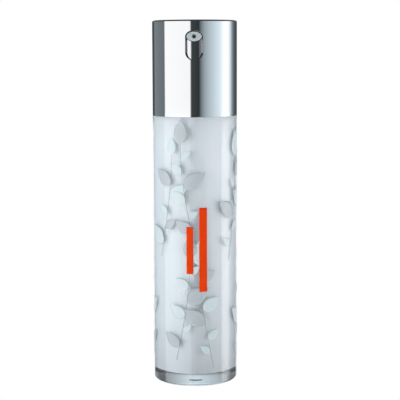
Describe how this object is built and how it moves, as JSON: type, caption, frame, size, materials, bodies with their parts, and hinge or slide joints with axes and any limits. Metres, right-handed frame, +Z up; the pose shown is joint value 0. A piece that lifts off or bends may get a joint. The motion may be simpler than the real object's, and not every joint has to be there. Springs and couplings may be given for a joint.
{
  "type": "airless pump bottle",
  "caption": "Round airless pump bottle: clear outer bottle over a white inner bottle with a rising follower piston, and a sprung push button with a front nozzle inside a plated shroud.",
  "frame": {"origin": "centre of the base's underside, which rests on z = 0", "axes": "+Z up along the bottle's axis, the nozzle points to -Y, +X to the right as seen from the nozzle's side"},
  "size_m": [0.033, 0.033, 0.1417],
  "materials": {
    "clear_plastic": "clear, polished",
    "white_plastic": "satin gloss",
    "natural_plastic": "milky",
    "soft_seal": "soft, matt",
    "bright_steel": "bright drawn",
    "chrome_plating": "mirror plated",
    "nozzle_grey": "fine matt"
  },
  "bodies": {
    "bottle": {"outer_bottle": "clear_plastic", "inner_bottle": "white_plastic", "base_plug": "white_plastic", "neck_gasket": "soft_seal", "pump_housing": "natural_plastic", "ball_retainer": "natural_plastic", "housing_cap": "natural_plastic", "stem_wiper": "soft_seal", "closure_collar": "white_plastic", "guide_sleeve": "natural_plastic", "shroud": "chrome_plating", "return_spring": "bright_steel"},
    "actuator": {"actuator_shell": "chrome_plating", "actuator_core": "natural_plastic", "nozzle_insert": "nozzle_grey", "stem": "natural_plastic", "piston_rod": "natural_plastic"},
    "outlet_valve": {"pump_piston": "natural_plastic"},
    "inlet_valve": {"inlet_ball": "bright_steel"},
    "follower": {"follower_piston": "natural_plastic"}
  },
  "joints": [
    {"name": "actuator_press", "type": "slide", "parent": "bottle", "child": "actuator", "axis": [0, 0, -1], "range_m": [0, 0.0065], "stiffness_N_per_m": 900, "springref_m": -0.006, "deforming": ["return_spring"]},
    {"name": "outlet_lift", "type": "slide", "parent": "actuator", "child": "outlet_valve", "axis": [0, 0, 1], "range_m": [0, 0.0008]},
    {"name": "inlet_lift", "type": "slide", "parent": "bottle", "child": "inlet_valve", "axis": [0, 0, 1], "range_m": [0, 0.0008]},
    {"name": "follower_rise", "type": "slide", "parent": "bottle", "child": "follower", "axis": [0, 0, 1], "range_m": [0, 0.08375]}
  ]
}
